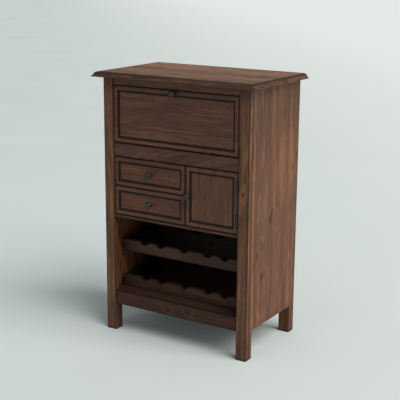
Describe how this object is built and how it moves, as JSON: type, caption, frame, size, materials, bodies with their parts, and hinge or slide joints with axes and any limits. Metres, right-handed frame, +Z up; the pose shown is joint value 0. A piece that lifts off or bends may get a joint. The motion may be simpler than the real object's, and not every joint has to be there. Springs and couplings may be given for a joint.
{
  "type": "bar cabinet",
  "caption": "Tall rustic wood bar cabinet with a fold-down flap on sliding stays, drawers beside a hinged door, scalloped bottle racks below and a moulded top.",
  "frame": {"origin": "on the floor, at the centre of the footprint of the top board", "axes": "+X to the right seen from the front, +Y to the back, +Z up; the front faces -Y"},
  "size_m": [0.728, 0.432, 1.067],
  "materials": {
    "top_wood": "rustic satin lacquer with dark glaze",
    "frame_wood": "rustic satin lacquer with dark glaze",
    "front_wood": "rustic satin lacquer with dark glaze",
    "inner_wood": "dark stain",
    "drawer_wood": "plain sanded",
    "gunmetal": "dark antique",
    "hinge_steel": "dark steel",
    "catch_plastic": "matte"
  },
  "bodies": {
    "carcass": {"top_board": "top_wood", "left_side": "frame_wood", "right_side": "frame_wood", "left_stile": "frame_wood", "right_stile": "frame_wood", "top_rail": "frame_wood", "middle_rail": "frame_wood", "apron": "frame_wood", "bottom_shelf": "inner_wood", "lower_deck": "inner_wood", "upper_deck": "inner_wood", "partition": "inner_wood", "back_panel": "inner_wood", "back_rail": "inner_wood", "left_front_leg_block": "inner_wood", "right_front_leg_block": "inner_wood", "left_back_leg_block": "inner_wood", "right_back_leg_block": "inner_wood", "upper_rack_front_rail": "inner_wood", "upper_rack_back_rail": "inner_wood", "upper_rack_left_rail": "inner_wood", "upper_rack_right_rail": "inner_wood", "lower_rack_front_rail": "inner_wood", "lower_rack_back_rail": "inner_wood", "lower_rack_left_rail": "inner_wood", "lower_rack_right_rail": "inner_wood", "rack_cleats": "inner_wood", "left_runners": "inner_wood", "right_runners": "inner_wood", "stay_blocks": "inner_wood", "stile_hinge_leaves": "hinge_steel", "hinge_pins": "hinge_steel", "flap_catch": "catch_plastic", "door_catch": "catch_plastic"},
    "flap": {"flap_panel": "front_wood", "flap_knob": "gunmetal", "flap_pivot_pins": "hinge_steel", "stay_brackets": "hinge_steel", "flap_strike": "hinge_steel"},
    "left_stay_arm": {"left_stay_arm": "hinge_steel"},
    "right_stay_arm": {"right_stay_arm": "hinge_steel"},
    "left_stay_guide": {"left_stay_guide": "hinge_steel"},
    "right_stay_guide": {"right_stay_guide": "hinge_steel"},
    "door": {"door_panel": "front_wood", "door_knob": "gunmetal", "door_hinge_leaves": "hinge_steel", "door_strike": "hinge_steel"},
    "upper_drawer": {"upper_drawer_front": "front_wood", "upper_drawer_knob": "gunmetal", "upper_drawer_left_side": "drawer_wood", "upper_drawer_right_side": "drawer_wood", "upper_drawer_back": "drawer_wood", "upper_drawer_bottom": "drawer_wood"},
    "lower_drawer": {"lower_drawer_front": "front_wood", "lower_drawer_knob": "gunmetal", "lower_drawer_left_side": "drawer_wood", "lower_drawer_right_side": "drawer_wood", "lower_drawer_back": "drawer_wood", "lower_drawer_bottom": "drawer_wood"}
  },
  "joints": [
    {"name": "flap_hinge", "type": "hinge", "parent": "carcass", "child": "flap", "pos_m": [0, -0.1705, 0.8015], "axis": [1, 0, 0], "range_deg": [0, 90]},
    {"name": "door_hinge", "type": "hinge", "parent": "carcass", "child": "door", "pos_m": [0.2835, -0.1863, 0.61575], "axis": [0, 0, 1], "range_deg": [0, 110]},
    {"name": "left_guide_pivot", "type": "hinge", "parent": "carcass", "child": "left_stay_guide", "pos_m": [-0.2775, -0.0745, 0.91676], "axis": [1, 0, 0], "range_deg": [0, 45]},
    {"name": "left_arm_pivot", "type": "hinge", "parent": "flap", "child": "left_stay_arm", "pos_m": [-0.2775, -0.1505, 0.95016], "axis": [1, 0, 0], "range_deg": [-45, 0]},
    {"name": "right_guide_pivot", "type": "hinge", "parent": "carcass", "child": "right_stay_guide", "pos_m": [0.2775, -0.0745, 0.91676], "axis": [1, 0, 0], "range_deg": [0, 45]},
    {"name": "right_arm_pivot", "type": "hinge", "parent": "flap", "child": "right_stay_arm", "pos_m": [0.2775, -0.1505, 0.95016], "axis": [1, 0, 0], "range_deg": [-45, 0]},
    {"name": "upper_drawer_slide", "type": "slide", "parent": "carcass", "child": "upper_drawer", "axis": [0, -1, 0], "range_m": [0, 0.25]},
    {"name": "lower_drawer_slide", "type": "slide", "parent": "carcass", "child": "lower_drawer", "axis": [0, -1, 0], "range_m": [0, 0.25]}
  ],
  "couplings": [
    {"joint": "left_guide_pivot", "follows": "flap_hinge", "ratio": 0.5},
    {"joint": "left_arm_pivot", "follows": "flap_hinge", "ratio": -0.5},
    {"joint": "right_guide_pivot", "follows": "flap_hinge", "ratio": 0.5},
    {"joint": "right_arm_pivot", "follows": "flap_hinge", "ratio": -0.5}
  ]
}
